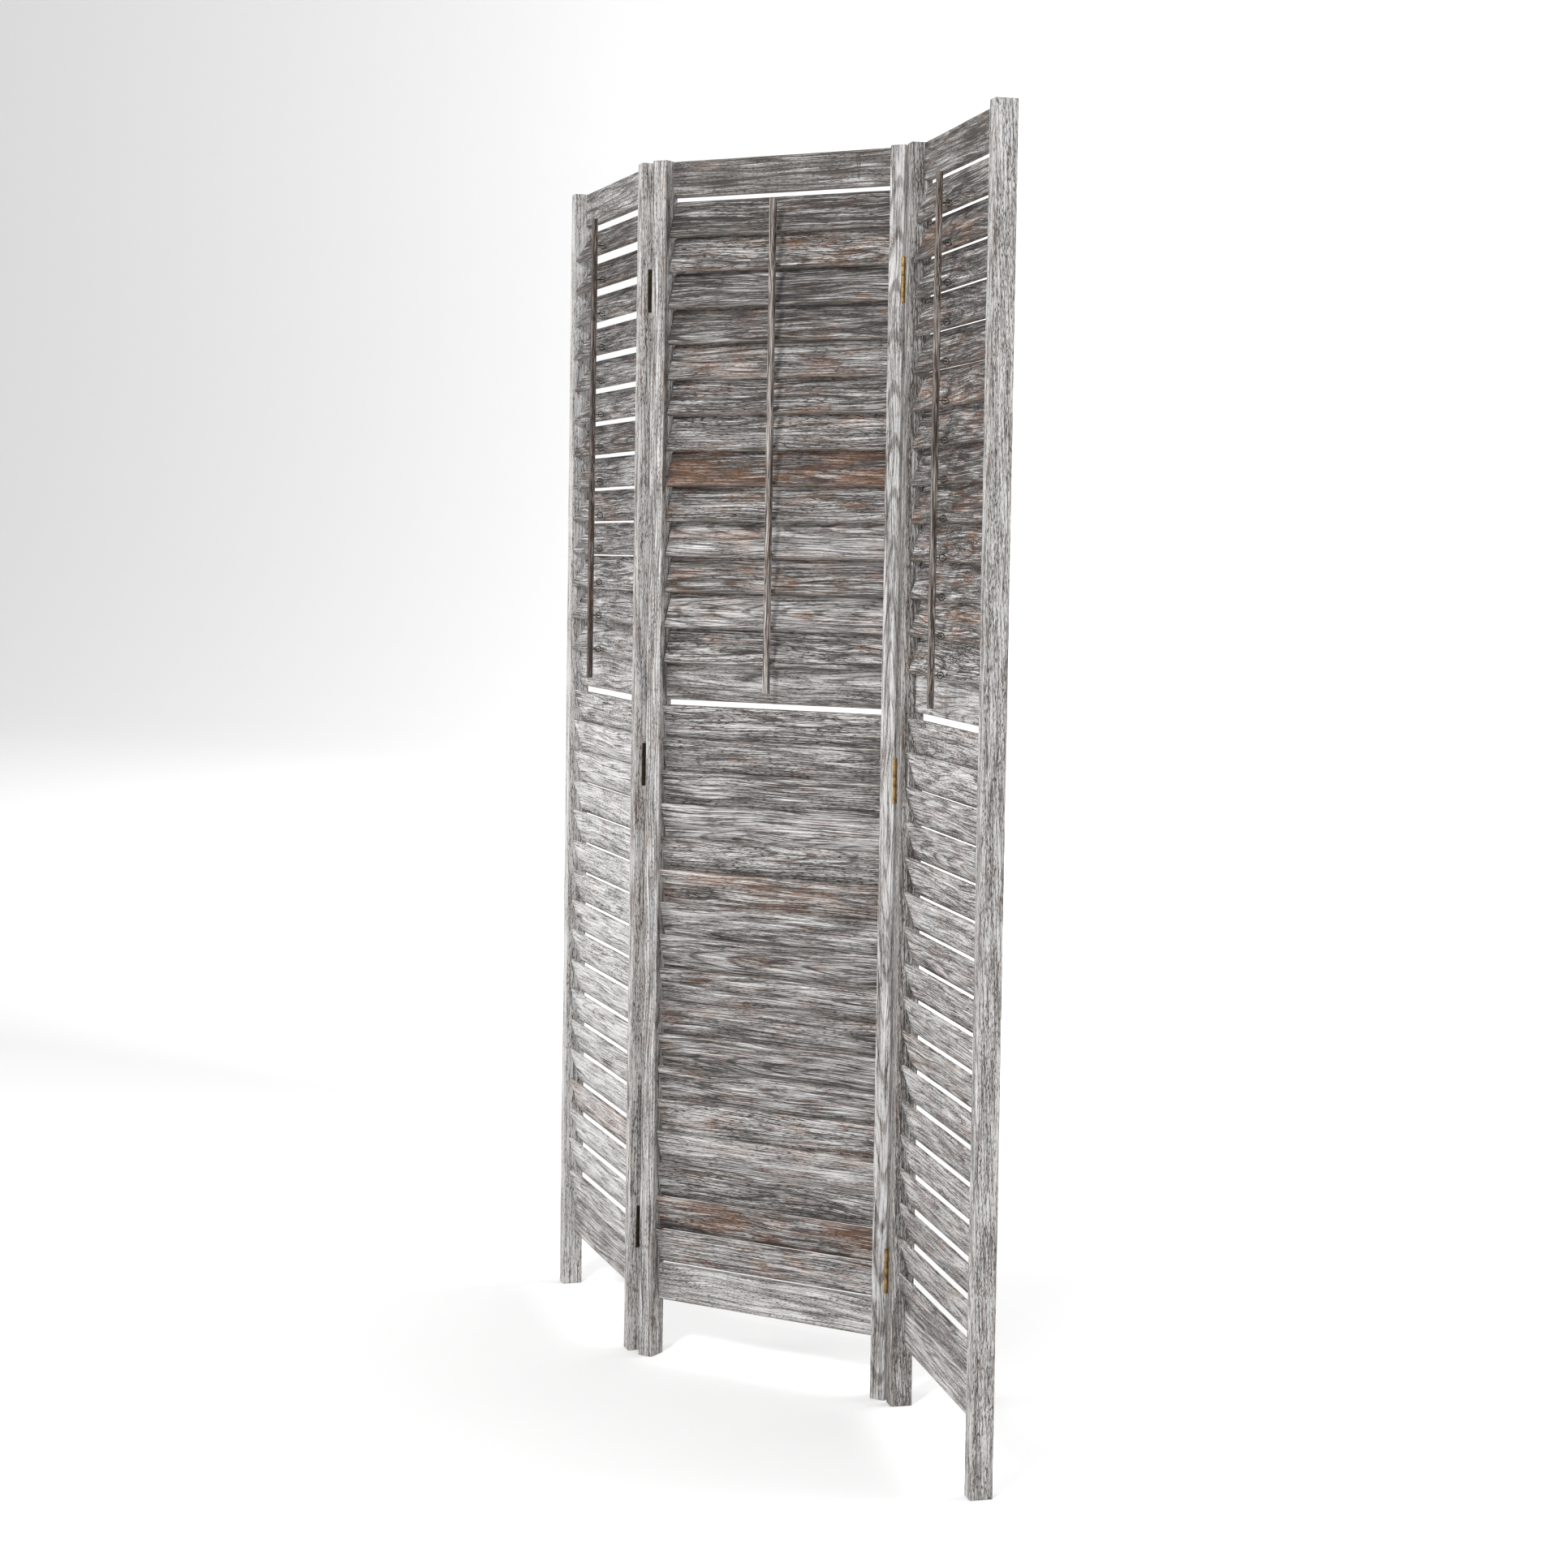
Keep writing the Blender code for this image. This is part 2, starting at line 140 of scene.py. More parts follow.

# How pale and how brown each board is, from 0 to 9 in half grades; louvers from the top down.
# The paleness is partly each board's own tone and partly painted light: the side panels'
# boards are graded paler, to stand for the brighter light on those panels.
LOUVER_SHADE = {
    "left": (
        (1, 2), (0.5, 2), (3, 2), (2.5, 1), (2.5, 0.5), (3.5, 1), (1.5, 2),
        (4, 1), (3.5, 3.5), (3.5, 1), (5, 1), (5, 1), (6, 1),
    ),
    "centre": (
        (0, 1), (2.5, 4.5), (0.5, 0), (0.5, 3), (2.5, 4), (2, 2), (3, 2),
        (0.5, 9), (2.5, 3), (3.5, 3.5), (1.5, 4), (4, 3), (3, 2),
    ),
    "right": (
        (1, 1), (0, 5), (1.5, 2), (1.5, 2), (0.5, 3), (2.5, 5), (1.5, 4),
        (0.5, 2), (1.5, 4.5), (2, 4), (2.5, 2), (2.5, 5), (4, 2),
    ),
}
FIXED_SHADE = {
    "left": (
        (6.5, 1), (8, 1), (8.5, 1), (9, 1), (9, 1), (9, 1), (8.5, 1),
        (9, 1), (9, 1), (8.5, 1), (8.5, 1), (8, 1), (9, 1), (7.5, 8),
        (8.5, 1), (8.5, 1), (7, 1),
    ),
    "centre": (
        (3.5, 0), (3, 1), (2.5, 1), (4.5, 1), (3.5, 1), (3, 5), (4, 2),
        (3, 2), (3.5, 3), (3, 3), (3, 1), (3.5, 3), (5, 5), (5.5, 2),
        (3, 1), (2.5, 7), (4, 4),
    ),
    "right": (
        (5.5, 0.5), (6.5, 0.5), (5.5, 2), (5, 2), (5, 2), (6.5, 2), (5, 3),
        (6, 2), (6, 2), (5.5, 5), (7, 2), (5.5, 3), (7, 3), (6.5, 4),
        (5.5, 3), (6.5, 3), (4, 3),
    ),
}

# Stiles, rails and rods use the same grades. These are also partly their own tone and partly
# painted light, and the top rail is graded the darkest of each panel's rails.
STILE_SHADE = {
    ("left", "left"): (8.5, 3), ("left", "right"): (7, 6.5),
    ("centre", "left"): (5, 3), ("centre", "right"): (5, 2),
    ("right", "left"): (3.5, 3), ("right", "right"): (6, 1),
}
RAIL_SHADE = {
    ("left", "top"): (4, 0), ("left", "middle"): (6.5, 1), ("left", "bottom"): (4.5, 1),
    ("centre", "top"): (1, 0), ("centre", "middle"): (2.5, 0), ("centre", "bottom"): (6, 1),
    ("right", "top"): (1.5, 2), ("right", "middle"): (5.5, 2), ("right", "bottom"): (5, 1),
}
ROD_SHADE = {"left": (1, 4.5), "centre": (5, 0), "right": (3, 1.5)}

# What each shell gives the wood materials: name, kind and the field that holds it.
ATTRIBUTES = (
    ("grain", "FLOAT_VECTOR", "vector"),
    ("shade", "FLOAT_COLOR", "color"),
    ("eased", "FLOAT", "value"),
    ("knot", "FLOAT_VECTOR", "vector"),
)

# Lengths in the wood's grain, and its two fixed colours.
RING_SPACING = 0.0045
PORE_WIDTH = 0.0007
GRAIN_BEND = 0.016
RUBBED_EDGE = (0.30, 0.255, 0.215, 1.0)
KNOT_COLOUR = (0.05, 0.038, 0.030, 1.0)
KNOT_STOPS = ((0.0, 0.30), (0.50, 0.45), (0.68, 0.95), (0.84, 0.85), (1.0, 0.0))

draws = np.random.default_rng(1700)


# ---------------------------------------------------------------- placing

def shift(x, y, z):
    """A move as a 4 x 4 matrix."""
    made = np.eye(4)
    made[:3, 3] = (x, y, z)
    return made


def turn(axis, degrees):
    """A turn about a main axis as a 4 x 4 matrix."""
    made = np.eye(4)
    i, j = {"x": (1, 2), "y": (2, 0), "z": (0, 1)}[axis]
    c, s = math.cos(math.radians(degrees)), math.sin(math.radians(degrees))
    made[i, i], made[i, j], made[j, i], made[j, j] = c, -s, s, c
    return made


LYING = turn("x", 90)  # grain along x, width up, thickness to the front
STANDING = np.array([[0, 1, 0, 0], [0, 0, 1, 0], [1, 0, 0, 0], [0, 0, 0, 1]], float)  # grain up


def panel_place(side):
    """A panel's place in the row frame, from its tilt joint: x along it, y to its back."""
    joint = next(j for j in frame["joints"] if j["name"] == f"{side}_tilt")
    along = -np.array(joint["axis"], float)
    back = np.cross((0, 0, 1), along)
    made = np.eye(4)
    made[:3, 0], made[:3, 1] = along, back
    made[:3, 3] = joint["pos_m"]
    return made @ shift(-PANEL_WIDTH / 2, -LOUVER_PIVOT_DEPTH, -TOP_LOUVER_HEIGHT)


def fold_place(side, turned):
    """A fold's place: its pin line, turned with the outer panel or with the centre one."""
    joint = next(j for j in frame["joints"] if j["name"] == f"{side}_fold")
    made = panel_place(side if turned else "centre").copy()
    made[:3, 3] = (joint["pos_m"][0], joint["pos_m"][1], 0.0)
    return made


# ---------------------------------------------------------------- shells

def rounded_section(width, depth, ease, cuts=None):
    """An oblong with eased corners in (width, depth): core path, outward normals, corner marks.

    Each corner is a quarter turn of the normal about one core point; each face between two
    corners runs straight from one core point to the next.  A point is core + ease * normal.
    """
    a, b = width / 2 - ease, depth / 2 - ease
    corners = np.array([(a, -b), (a, b), (-a, b), (-a, -b)])
    core, normal, eased = [], [], []
    for k in range(4):
        angle = np.radians(90 * (k - 1) + np.linspace(0, 90, EASE_STEPS + 1))
        core.append(np.repeat(corners[k : k + 1], EASE_STEPS + 1, 0))
        normal.append(np.stack([np.cos(angle), np.sin(angle)], 1))
        eased.append(np.ones(EASE_STEPS + 1))
        t = np.array((cuts or {}).get(k, THIN_CUTS if k % 2 == 0 else WIDE_CUTS))[:, None]
        core.append(corners[k] * (1 - t) + corners[(k + 1) % 4] * t)
        normal.append(np.repeat(normal[-1][-1:], len(t), 0))
        eased.append(np.zeros(len(t)))
    return np.concatenate(core), np.concatenate(normal), np.concatenate(eased)


def grid_faces(rows, columns, around=True):
    """Quads between neighbouring points of a grid, closed round its columns or left open."""
    i = np.arange(rows - 1)[:, None]
    j = np.arange(columns if around else columns - 1)[None, :]
    k = (j + 1) % columns
    low, high = i * columns, (i + 1) * columns
    return np.stack([low + j, low + k, high + k, high + j], -1).reshape(-1, 4)


def board(
    length, width, thickness, ease, shade,
    waver=LOUVER_WAVER, stations=14, cuts=None, extra=(), carve=None, knot=NO_KNOT,
):
    """A board about its middle: grain along x, width along y, thickness along z.

    Its section is carried along x; at each end the ease shrinks through a quarter turn.  The faces
    dip by a slow sum of sines along and across the grain, never proud of the full size.
    """
    pale, brown = shade
    seed, slope = draws.random(), draws.random()
    core, normal, eased = rounded_section(width, thickness, ease, cuts)
    quarter = np.radians(np.linspace(0, 90, EASE_STEPS + 1))
    inset = ease * (1 - np.sin(quarter))
    end = length / 2 - ease + ease * np.cos(quarter)
    middle = np.linspace(-length / 2 + 2 * ease, length / 2 - 2 * ease, stations)
    middle = np.unique(np.concatenate([middle, np.array(extra, float)]))
    x = np.concatenate([-end, middle, end[::-1]])
    shrink = np.concatenate([inset, np.zeros(len(middle)), inset[::-1]])
    waves = 2 * np.pi * draws.random(6)
    around = np.arctan2(core[:, 1] + normal[:, 1] * ease, core[:, 0] + normal[:, 0] * ease)
    along = x[:, None]
    dip = np.sin(along * 21 + waves[0] + 1.3 * np.sin(around + waves[1]))
    dip = dip + 0.6 * np.sin(along * 47 + waves[2] + 2 * np.cos(2 * around + waves[3]))
    dip = dip + 0.4 * np.sin(along * 113 + waves[4] + 3 * np.sin(2 * around + waves[5]))
    out = ease - shrink[:, None] - waver * (dip / 2 + 1) / 2
    points = np.empty((len(x), len(core), 3))
    points[..., 0] = along
    points[..., 1] = core[None, :, 0] + out * normal[None, :, 0]
    points[..., 2] = core[None, :, 1] + out * normal[None, :, 1]
    places = points.copy()
    if carve is not None:
        points = carve(points)
    count = len(core)
    faces = grid_faces(len(x), count).tolist()
    faces.append(list(range(count))[::-1])
    faces.append(list(range((len(x) - 1) * count, len(x) * count)))
    many = len(x) * count
    return {
        "points": points.reshape(-1, 3),
        "faces": faces,
        "grain": places.reshape(-1, 3),
        "shade": np.tile((pale / 9, brown / 9, slope, seed), (many, 1)),
        "eased": np.tile(eased, len(x)),
        "knot": np.tile(knot, (many, 1)),
        "finish": 0,
    }


def lathed(profile, sides, finish=0):
    """A closed round piece about z: a profile of (radius, height) turned round the axis."""
    profile = np.array(profile, float)
    angle = np.linspace(0, 2 * np.pi, sides, endpoint=False)
    points = np.stack(
        [
            profile[:, :1] * np.cos(angle),
            profile[:, :1] * np.sin(angle),
            np.repeat(profile[:, 1:], sides, 1),
        ],
        -1,
    )
    return plain_shell(points, True, finish)


def tube(path, radius, sides, closed, finish=0):
    """A round wire along a path: circles of one radius, square to the path at its points."""
    path = np.array(path, float)
    if closed:
        ahead = np.roll(path, -1, 0) - np.roll(path, 1, 0)
    else:
        ahead = np.gradient(path, axis=0)
    ahead /= np.linalg.norm(ahead, axis=1, keepdims=True)
    flat = np.linalg.svd(path - path.mean(0))[2][2] if closed else np.array([0.1, 0.2, 1.0])
    side = np.cross(ahead, flat)
    side /= np.linalg.norm(side, axis=1, keepdims=True)
    up = np.cross(side, ahead)
    angle = np.linspace(0, 2 * np.pi, sides, endpoint=False)[None, :, None]
    points = path[:, None] + radius * (np.cos(angle) * side[:, None] - np.sin(angle) * up[:, None])
    if closed:
        points = np.concatenate([points, points[:1]])
    return plain_shell(points, not closed, finish, closed)


def plain_shell(points, capped, finish, closed=False):
    """A shell from a grid of points closed round its columns, with flat ends or joined ends."""
    rows, columns = points.shape[:2]
    faces = grid_faces(rows, columns)
    if closed:
        rows -= 1
        points = points[:-1]
        faces = faces % (rows * columns)
    faces = faces.tolist()
    if capped:
        faces.append(list(range(columns))[::-1])
        faces.append(list(range((rows - 1) * columns, rows * columns)))
    many = rows * columns
    flat = points.reshape(-1, 3)
    return {
        "points": flat,
        "faces": faces,
        "grain": flat.copy(),
        "shade": np.zeros((many, 4)),
        "eased": np.zeros(many),
        "knot": np.tile(NO_KNOT, (many, 1)),
        "finish": finish,
    }


def placed(part, matrix):
    """The same shell somewhere else; its grain stays as it was."""
    moved = dict(part)
    moved["points"] = part["points"] @ matrix[:3, :3].T + matrix[:3, 3]
    return moved


def piece(name, parts, finishes, body, nodes):
    """One object of several shells, riding on a body and standing for its nodes."""
    points = np.concatenate([p["points"] for p in parts])
    faces, which, first = [], [], 0
    for p in parts:
        faces += [[v + first for v in face] for face in p["faces"]]
        which += [p["finish"]] * len(p["faces"])
        first += len(p["points"])
    mesh = bpy.data.meshes.new(name)
    mesh.from_pydata(points.tolist(), [], faces)
    for key, kind, field in ATTRIBUTES:
        values = np.concatenate([p[key] for p in parts]).astype(np.float32)
        attribute = mesh.attributes.new(key, kind, "POINT")
        attribute.data.foreach_set(field, values.ravel())
    mesh.polygons.foreach_set("use_smooth", np.ones(len(faces), bool))
    mesh.polygons.foreach_set("material_index", np.array(which, np.int32))
    for finish in finishes:
        mesh.materials.append(finish)
    mesh.update()
    mesh.validate()
    mesh.set_sharp_from_angle(angle=math.radians(SHARP_ANGLE))
    made = bpy.data.objects.new(name, mesh)
    bpy.context.scene.collection.objects.link(made)
    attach(made, body)
    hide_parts(*nodes)
    return made


# ---------------------------------------------------------------- materials

def node(tree, kind, inputs=None, **settings):
    """A shader node with its inputs set or linked."""
    made = tree.nodes.new(kind)
    for key, value in settings.items():
        setattr(made, key, value)
    for key, value in (inputs or {}).items():
        if isinstance(value, bpy.types.NodeSocket):
            tree.links.new(value, made.inputs[key])
        else:
            made.inputs[key].default_value = value
    return made


def maths(tree, operation, a, b=0.0):
    """A Math node's result."""
    return node(tree, "ShaderNodeMath", {0: a, 1: b}, operation=operation).outputs[0]


def ramped(tree, factor, stops):
    """A colour ramp's colour; a stop is a place and a grey value or a colour."""
    made = node(tree, "ShaderNodeValToRGB", {0: factor})
    ramp = made.color_ramp
    while len(ramp.elements) < len(stops):
        ramp.elements.new(0.5)
    for element, (place, colour) in zip(ramp.elements, stops):
        element.position = place
        element.color = (*((colour,) * 3 if isinstance(colour, float) else colour), 1.0)
    return made.outputs[0]


def mixed(tree, factor, a, b):
    """Two colours mixed."""
    return node(tree, "ShaderNodeMix", {0: factor, 6: a, 7: b}, data_type="RGBA").outputs[2]


def stretched_noise(tree, places, lengths, detail, roughness=0.55):
    """Noise with its own scale along the grain, across it and through the board, in metres."""
    scales = {0: places, 1: tuple(1 / x for x in lengths)}
    scaled = node(tree, "ShaderNodeVectorMath", scales, operation="MULTIPLY").outputs[0]
    inputs = {"Vector": scaled, "Scale": 1.0, "Detail": detail, "Roughness": roughness}
    return node(tree, "ShaderNodeTexNoise", inputs).outputs[0]


def weathered_wood(name, tones, brown, paleness, dash, pore_depth, line_strength):
    """Whitewashed open-grained wood, from its dark, middle and light tones and the brown below.

    The grain is drawn in the board's own places: growth rings round a leaning heart line, bent
    by slow noise; short dark pores, fine lines and dark cracks stretched along the grain; pale
    strips, and worn patches that let brown wood through in streaks; and a dark knot that widens
    across the board.  Eased corners are rubbed to a warmer tone.
    """
    made = bpy.data.materials.new(name)
    made.use_nodes = True
    tree = made.node_tree
    shader = tree.nodes["Principled BSDF"]

    def plus(a, b):
        """The sum of two values."""
        return maths(tree, "ADD", a, b)

    def less(a, b):
        """The first value less the second."""
        return maths(tree, "SUBTRACT", a, b)

    def times(a, b):
        """The product of two values."""
        return maths(tree, "MULTIPLY", a, b)

    def about(noise, strength):
        """A noise about zero, times a strength."""
        return times(less(noise, 0.5), strength)

    def joined(x, y, z):
        """Three values as a vector."""
        return node(tree, "ShaderNodeCombineXYZ", {0: x, 1: y, 2: z}).outputs[0]

    def moved(places, by):
        """Places moved by a vector."""
        return node(tree, "ShaderNodeVectorMath", {0: places, 1: by}, operation="ADD").outputs[0]

    def reach(vector):
        """A vector's length."""
        found = node(tree, "ShaderNodeVectorMath", {0: vector}, operation="LENGTH")
        return found.outputs["Value"]

    grain = node(tree, "ShaderNodeAttribute", attribute_name="grain").outputs["Vector"]
    shade = node(tree, "ShaderNodeAttribute", attribute_name="shade").outputs
    eased = node(tree, "ShaderNodeAttribute", attribute_name="eased").outputs["Fac"]
    knot = node(tree, "ShaderNodeAttribute", attribute_name="knot").outputs["Vector"]
    own = node(tree, "ShaderNodeSeparateColor", {0: shade["Color"]}).outputs
    pale, tan, slope, seed = own[0], own[1], own[2], shade["Alpha"]
    places = moved(grain, joined(times(seed, 31.0), times(seed, 17.0), times(seed, 23.0)))

    bend = about(stretched_noise(tree, places, (0.16, 0.035, 0.035), 1.0), GRAIN_BEND)
    split = node(tree, "ShaderNodeSeparateXYZ", {0: grain}).outputs
    heart = plus(times(split[0], about(slope, 0.16)), 0.012)
    across = plus(plus(split[1], bend), about(seed, 0.05))
    radius = reach(joined(0.0, across, plus(split[2], heart)))
    phase = times(radius, 2 * math.pi / RING_SPACING)
    rings = plus(times(maths(tree, "SINE", phase), 0.5), 0.5)
    late = ramped(tree, rings, ((0.78, 0.0), (0.99, 1.0)))

    flowing = moved(places, joined(times(bend, 0.6), bend, 0.0))
    dashes = stretched_noise(tree, flowing, (dash, PORE_WIDTH, PORE_WIDTH), 2.0)
    lines = stretched_noise(tree, flowing, (0.06, PORE_WIDTH, PORE_WIDTH), 2.0, 0.6)
    strips = stretched_noise(tree, flowing, (0.16, 0.0042, 0.0042), 2.0)
    patches = stretched_noise(tree, places, (0.065, 0.020, 0.020), 3.0)
    worn = stretched_noise(tree, places, (0.075, 0.011, 0.011), 3.0, 0.6)

    pores = ramped(tree, dashes, ((0.52, 0.0), (0.61, 1.0)))
    cracks = ramped(tree, lines, ((0.31, 1.0), (0.39, 0.0)))
    depth = times(plus(slope, 0.45), pore_depth)
    depth = times(depth, ramped(tree, worn, ((0.35, 1.5), (0.62, 0.5))))
    value = less(about(lines, line_strength), times(pores, depth))
    value = less(value, times(cracks, 0.30))
    value = plus(value, about(strips, 0.95))
    value = plus(value, about(worn, 0.95))
    value = less(value, times(times(late, worn), 0.50))
    # each board's paleness grade, partly painted light as in the shade tables
    value = plus(value, times(pale, 0.62))
    value = plus(value, paleness)
    dark, middle, light = tones
    lightest = tuple(min(1.0, c * 1.22) for c in light)
    washed = ramped(tree, value, ((0.0, dark), (0.36, middle), (0.74, light), (1.0, lightest)))

    amount = plus(patches, times(tan, 0.27))
    amount = plus(amount, about(strips, 0.35))
    amount = ramped(tree, amount, ((0.60, 0.0), (0.84, 1.0)))
    amount = times(amount, ramped(tree, value, ((0.22, 1.0), (0.72, 0.10))))
    streaks = ramped(tree, value, ((0.0, 0.0), (0.45, 1.0)))
    deep_brown = tuple(0.25 * c for c in brown[:3]) + (1.0,)
    coloured = mixed(tree, amount, washed, mixed(tree, streaks, deep_brown, brown))
    rubbed = times(eased, ramped(tree, lines, ((0.40, 0.10), (0.62, 0.65))))
    coloured = mixed(tree, rubbed, coloured, mixed(tree, 0.5, coloured, RUBBED_EDGE))

    knot = node(tree, "ShaderNodeSeparateXYZ", {0: knot}).outputs
    beside = less(plus(split[0], times(bend, 0.35)), knot[0])
    beyond = maths(tree, "MAXIMUM", less(maths(tree, "ABSOLUTE", split[1]), knot[1]), 0.0)
    half_width = times(knot[2], plus(times(split[1], 26.0), 0.62))
    from_knot = maths(tree, "DIVIDE", reach(joined(beside, beyond, 0.0)), half_width)
    coloured = mixed(tree, ramped(tree, from_knot, KNOT_STOPS), coloured, KNOT_COLOUR)
    tree.links.new(coloured, shader.inputs["Base Color"])

    rough = plus(times(dashes, 0.25), 0.66)
    tree.links.new(rough, shader.inputs["Roughness"])
    shader.inputs["Specular IOR Level"].default_value = 0.3
    height = plus(times(dashes, 0.6), times(lines, 0.4))
    bump = node(tree, "ShaderNodeBump", {"Strength": 0.6, "Distance": 0.0008, "Height": height})
    tree.links.new(bump.outputs[0], shader.inputs["Normal"])
    return made


def worn_metal(name, clean, tarnish, roughness):
    """Satin metal with cloudy tarnish and fine rubbing, from noise in the piece's own places."""
    made = bpy.data.materials.new(name)
    made.use_nodes = True
    tree = made.node_tree
    shader = tree.nodes["Principled BSDF"]
    places = node(tree, "ShaderNodeTexCoord").outputs["Object"]
    clouds = stretched_noise(tree, places, (0.006, 0.006, 0.006), 4.0)
    fine = stretched_noise(tree, places, (0.0012, 0.0012, 0.0004), 2.0)
    colour = mixed(tree, ramped(tree, clouds, ((0.38, 0.0), (0.68, 1.0))), clean, tarnish)
    tree.links.new(colour, shader.inputs["Base Color"])
    rough = maths(tree, "ADD", maths(tree, "MULTIPLY", fine, 0.3), roughness)
    tree.links.new(rough, shader.inputs["Roughness"])
    shader.inputs["Metallic"].default_value = 1.0
    bump = node(tree, "ShaderNodeBump", {"Strength": 0.2, "Distance": 0.0001, "Height": fine})
    tree.links.new(bump.outputs[0], shader.inputs["Normal"])
    return made


frame_wood = weathered_wood(
    "whitewashed_frame_wood",
    ((0.040, 0.034, 0.031), (0.175, 0.165, 0.158), (0.45, 0.445, 0.44)),
    (0.17, 0.115, 0.082, 1.0),
    paleness=0.23, dash=0.0060, pore_depth=0.55, line_strength=1.7,
)
louver_wood = weathered_wood(
    "whitewashed_louver_wood",
    ((0.030, 0.026, 0.024), (0.155, 0.144, 0.139), (0.50, 0.495, 0.488)),
    (0.24, 0.130, 0.080, 1.0),
    paleness=0.21, dash=0.0085, pore_depth=0.60, line_strength=2.6,
)
rod_wood = weathered_wood(
    "weathered_rod_wood",
    ((0.026, 0.020, 0.017), (0.115, 0.088, 0.075), (0.36, 0.335, 0.315)),
    (0.11, 0.055, 0.036, 1.0),
    paleness=0.13, dash=0.0160, pore_depth=0.45, line_strength=3.0,
)
brass = worn_metal("satin_brass", (0.31, 0.20, 0.075, 1.0), (0.12, 0.080, 0.040, 1.0), 0.32)
# The leaf plates and screw heads take a near-black brass. This is painted shade for the deep shadow
# where the leaves lie in the slit between the stiles.
leaf_brass_painted_shade = worn_metal(
    "leaf_brass_with_painted_shade", (0.065, 0.048, 0.027, 1.0), (0.026, 0.021, 0.015, 1.0), 0.50
)
steel = worn_metal("dark_plated_steel", (0.10, 0.088, 0.070, 1.0), (0.035, 0.030, 0.025, 1.0), 0.34)


# ---------------------------------------------------------------- wooden frame

def pocket_cuts(face, hinge_face, reach):
    """Places along a stile's side face, from 0 to 1, either side of a hinge pocket's inner edge."""
    half = STILE_DEPTH / 2 - STILE_EASE
    inner = -STILE_DEPTH / 2 + reach
    z = np.array([inner - POCKET_STEP, inner + POCKET_STEP])
    if hinge_face == "back":
        z = -z[::-1]
    return (z + half) / (2 * half) if face == 0 else (half - z) / (2 * half)


def stile(side, end, hinge_face, shade):
    """One stile: an upright board with eased corners, cut back where hinge leaves lie in it."""
    reach = LEAF_START - HINGE_PIN_OUT + POCKET_PLAY
    depth = LEAF_SETBACK + LEAF_THICKNESS + POCKET_PLAY
    cuts, extra, carve = None, (), None
    half = HINGE_LENGTH / 2 + POCKET_PLAY
    if hinge_face:
        face = 0 if end == "right" else 2
        t = pocket_cuts(face, hinge_face, reach)
        cuts = {face: np.unique(np.concatenate([np.array((0.08, 0.5, 0.92)), t]))}
        heights = np.array(list(HINGE_HEIGHTS.values())) - PANEL_HEIGHT / 2
        extra = np.concatenate(
            [heights + s * half + e for s in (-1, 1) for e in (-POCKET_STEP, POCKET_STEP)]
        )
        inner_z = -STILE_DEPTH / 2 + reach

        def carve(points):
            """Side points inside a pocket's height and depth pushed back to its floor."""
            along, y, z = points[..., 0], points[..., 1], points[..., 2]
            level = (np.abs(along[..., None] - heights) < half).any(-1)
            near = z < inner_z if hinge_face == "front" else z > -inner_z
            limit = STILE_WIDTH / 2 - depth
            cut = np.minimum(y, limit) if end == "right" else np.maximum(y, -limit)
            points[..., 1] = np.where(level & near, cut, y)
            return points

    x = STILE_WIDTH / 2 if end == "left" else PANEL_WIDTH - STILE_WIDTH / 2
    made = board(
        PANEL_HEIGHT, STILE_WIDTH, STILE_DEPTH, STILE_EASE, shade,
        FRAME_WAVER, 60, cuts, extra, carve,
    )
    return placed(made, panel_place(side) @ shift(x, STILE_DEPTH / 2, PANEL_HEIGHT / 2) @ STANDING)


def rail(side, level, shade):
    """One rail between the stiles, its ends let in a little way."""
    low, high = RAILS[level]
    length = PANEL_WIDTH - 2 * STILE_WIDTH + 2 * RAIL_LET_IN
    knot = KNOTS.get((side, level), NO_KNOT)
    made = board(
        length, high - low, RAIL_THICKNESS, RAIL_EASE, shade, FRAME_WAVER, 18, knot=knot
    )
    y = STILE_DEPTH - RAIL_BACK_INSET - RAIL_THICKNESS / 2
    return placed(made, panel_place(side) @ shift(PANEL_WIDTH / 2, y, (low + high) / 2) @ LYING)


for side in SIDES:
    panel, stands_for = f"{side}_panel", [f"{side}_frame"]
    for end in ("left", "right"):
        made = stile(side, end, HINGE_FACES.get((side, end)), STILE_SHADE[side, end])
        piece(f"{side}_{end}_stile", [made], [frame_wood], panel, stands_for)
    for level in RAILS:
        made = rail(side, level, RAIL_SHADE[side, level])
        piece(f"{side}_{level}_rail", [made], [frame_wood], panel, stands_for)


# ---------------------------------------------------------------- louvers

def fixed_louver(side, index, shade):
    """One fixed louver, its ends let into the stiles and its top edge leaning forward."""
    length = PANEL_WIDTH - 2 * STILE_WIDTH + 2 * FIXED_LET_IN
    made = board(length, FIXED_CHORD, FIXED_THICKNESS, FIXED_EASE, shade)
    height = FIXED_TOP_HEIGHT - index * FIXED_PITCH
    place = panel_place(side) @ shift(PANEL_WIDTH / 2, FIXED_DEPTH, height)
    return placed(made, place @ turn("x", FIXED_TILT) @ LYING)


def ring_path(radius, count=20):
    """A circle in the y and z directions."""
    angle = np.linspace(0, 2 * np.pi, count, endpoint=False)
    return np.stack([np.zeros(count), radius * np.cos(angle), radius * np.sin(angle)], 1)


def screw_eye(centre, stem_end, level):
    """A wire ring and the straight stem that holds it; a level ring lies flat, the other stands."""
    ring = tube(ring_path(EYE_RADIUS), EYE_WIRE_RADIUS, 8, True, 1)  # finish 1 is the metal
    ring = placed(ring, shift(*centre) @ (turn("y", 90) if level else np.eye(4)))
    way = 1 if stem_end > centre[1] else -1
    ys = np.linspace(centre[1] + way * EYE_RADIUS, stem_end, 4)
    path = [(centre[0], y, centre[2]) for y in ys]
    stem = tube(path, EYE_WIRE_RADIUS * STEM_STOUTNESS, 8, False, 1)
    return [ring, stem]


